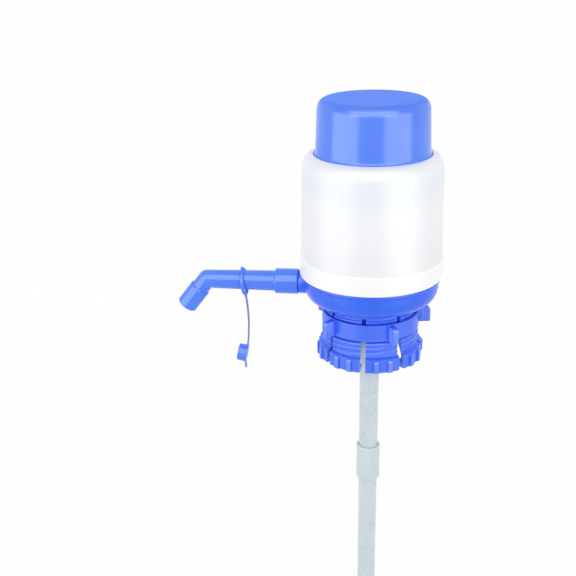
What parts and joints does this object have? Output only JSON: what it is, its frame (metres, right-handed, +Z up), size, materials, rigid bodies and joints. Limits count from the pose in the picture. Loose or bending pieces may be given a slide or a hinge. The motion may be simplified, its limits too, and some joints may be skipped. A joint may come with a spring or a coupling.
{
  "type": "water jug hand pump",
  "caption": "Press-top hand pump for a water jug: sprung cap on a round housing, bowl with a turning bent spout, split neck collar with a lugged clamp ring, and a dip tube below.",
  "frame": {"origin": "centre of the bottle's mouth, on the seal plane under the neck gasket", "axes": "+Z up along the pump's axis towards the press cap, -X along the spout's straight leg"},
  "size_m": [0.2035, 0.1074, 0.5842],
  "materials": {
    "cap_plastic": "glossy moulded polypropylene",
    "bowl_plastic": "satin moulded polypropylene",
    "clamp_plastic": "satin moulded polypropylene",
    "strap_plastic": "soft moulded polyethylene",
    "housing_plastic": "milky white polypropylene, slightly translucent",
    "inner_plastic": "natural moulded polyethylene",
    "tube_plastic": "natural extruded polypropylene",
    "valve_rubber": "moulded rubber",
    "gasket_rubber": "translucent silicone rubber"
  },
  "bodies": {
    "base": {"housing": "housing_plastic", "base_bowl": "bowl_plastic", "neck_collet": "bowl_plastic", "bellows_retainer": "inner_plastic", "valve_deck": "inner_plastic", "deck_gasket": "valve_rubber", "spout_o_ring": "valve_rubber", "neck_gasket": "gasket_rubber", "dip_tube_upper": "tube_plastic", "dip_tube_middle": "tube_plastic", "dip_tube_lower": "tube_plastic", "tube_coupler_upper": "tube_plastic", "tube_coupler_lower": "tube_plastic"},
    "cap": {"press_cap": "cap_plastic", "bellows_top_plate": "inner_plastic", "bellows": "inner_plastic"},
    "inlet_valve": {"inlet_valve_flap": "valve_rubber"},
    "outlet_valve": {"outlet_valve_flap": "valve_rubber"},
    "clamp": {"clamp_ring": "clamp_plastic"},
    "spout": {"spout_pipe": "bowl_plastic", "nozzle_tip": "bowl_plastic"},
    "cap_strap": {"dust_cap": "strap_plastic"}
  },
  "joints": [
    {"name": "cap_press", "type": "slide", "parent": "base", "child": "cap", "axis": [0, 0, -1], "range_m": [0, 0.038], "stiffness_N_per_m": 900, "springref_m": -0.012, "deforming": ["bellows"]},
    {"name": "inlet_valve_lift", "type": "slide", "parent": "cap", "child": "inlet_valve", "axis": [0, 0, -1], "range_m": [0, 0.0011], "stiffness_N_per_m": 60, "springref_m": -0.0005},
    {"name": "outlet_valve_lift", "type": "slide", "parent": "base", "child": "outlet_valve", "axis": [0, 0, -1], "range_m": [0, 0.0011], "stiffness_N_per_m": 60, "springref_m": -0.0005},
    {"name": "clamp_ring_turn", "type": "hinge", "parent": "base", "child": "clamp", "pos_m": [0, 0, -0.0182], "axis": [0, 0, 1], "range_deg": [0, 180]},
    {"name": "spout_turn", "type": "hinge", "parent": "base", "child": "spout", "pos_m": [-0.0561, 0, 0.014], "axis": [-1, 0, 0], "continuous": true},
    {"name": "dust_cap_swing", "type": "hinge", "parent": "spout", "child": "cap_strap", "pos_m": [-0.0973, 0, 0.014], "axis": [-1, 0, 0], "continuous": true}
  ]
}
